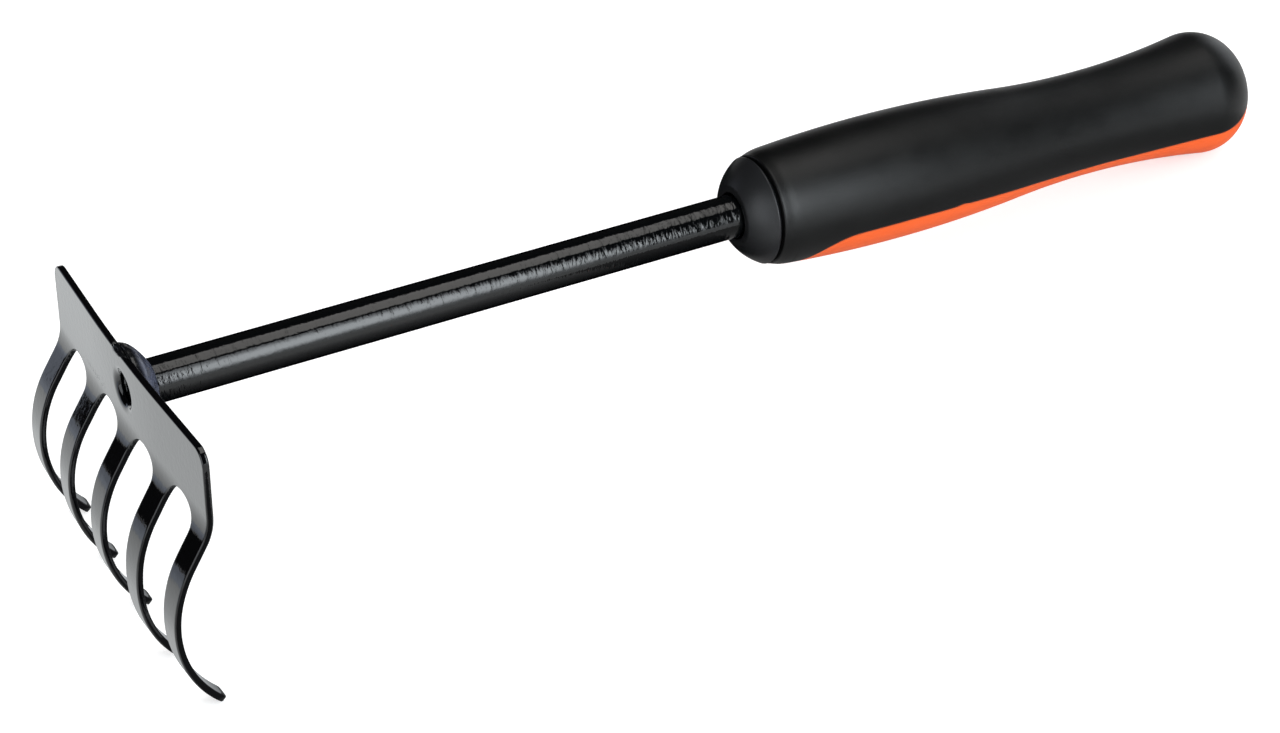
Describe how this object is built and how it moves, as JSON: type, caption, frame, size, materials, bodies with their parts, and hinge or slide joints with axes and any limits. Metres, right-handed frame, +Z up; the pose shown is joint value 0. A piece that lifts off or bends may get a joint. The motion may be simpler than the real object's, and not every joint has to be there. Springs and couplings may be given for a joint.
{
  "type": "hand rake",
  "caption": "Hand rake with flat, forward-bowed tines stamped from one plate, a straight round shaft and a contoured two-tone handle.",
  "frame": {"origin": "centre of the footprint, on the surface that the tool rests on", "axes": "+X from the head towards the butt of the handle, +Z up, +Y across the tines; the tool lies on its tine tips and the underside of its handle, so the shaft falls by 8.1 degrees towards +X"},
  "size_m": [0.3594, 0.1002, 0.0787],
  "materials": {
    "black_lacquer": "gloss black lacquer over steel, faint orange peel",
    "collar_plastic": "fine-grained matte charcoal",
    "core_plastic": "satin orange",
    "grip_rubber": "satin black soft-touch elastomer"
  },
  "bodies": {
    "root": {"rake_head": "black_lacquer", "shaft_tube": "black_lacquer", "weld_bead": "black_lacquer", "front_collar": "collar_plastic", "handle_core": "core_plastic", "soft_grip": "grip_rubber"}
  },
  "joints": []
}
